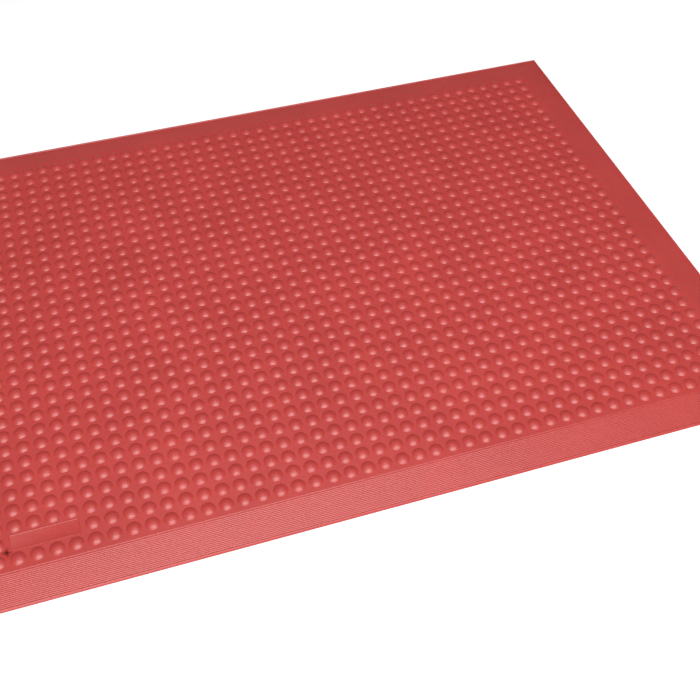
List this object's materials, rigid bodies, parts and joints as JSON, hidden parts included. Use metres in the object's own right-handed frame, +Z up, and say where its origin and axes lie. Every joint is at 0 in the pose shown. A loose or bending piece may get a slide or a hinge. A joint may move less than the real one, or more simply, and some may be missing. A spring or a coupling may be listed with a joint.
{
  "type": "anti fatigue mat",
  "caption": "Rectangular cushioned floor mat with a grid of low round bubbles, a layered body and ribbed, mitred ramps on all four sides.",
  "frame": {"origin": "centre of the underside, on the floor", "axes": "+X along the long side, to the right as seen from the front; +Y towards the rear edge; +Z up"},
  "size_m": [1.1982, 0.9, 0.014],
  "materials": {
    "wear_surface": "satin, slightly soft moulded skin, red",
    "edge_ramp": "satin, fine ribs, red",
    "foam": "closed-cell foam, matt",
    "grip_sheet": "matt, fine-grained",
    "badge_plate": "satin, plain"
  },
  "bodies": {
    "root": {"top_pad": "wear_surface", "foam_core": "foam", "grip_base": "grip_sheet", "front_ramp": "edge_ramp", "rear_ramp": "edge_ramp", "left_ramp": "edge_ramp", "right_ramp": "edge_ramp", "blank_badge": "badge_plate"}
  },
  "joints": []
}
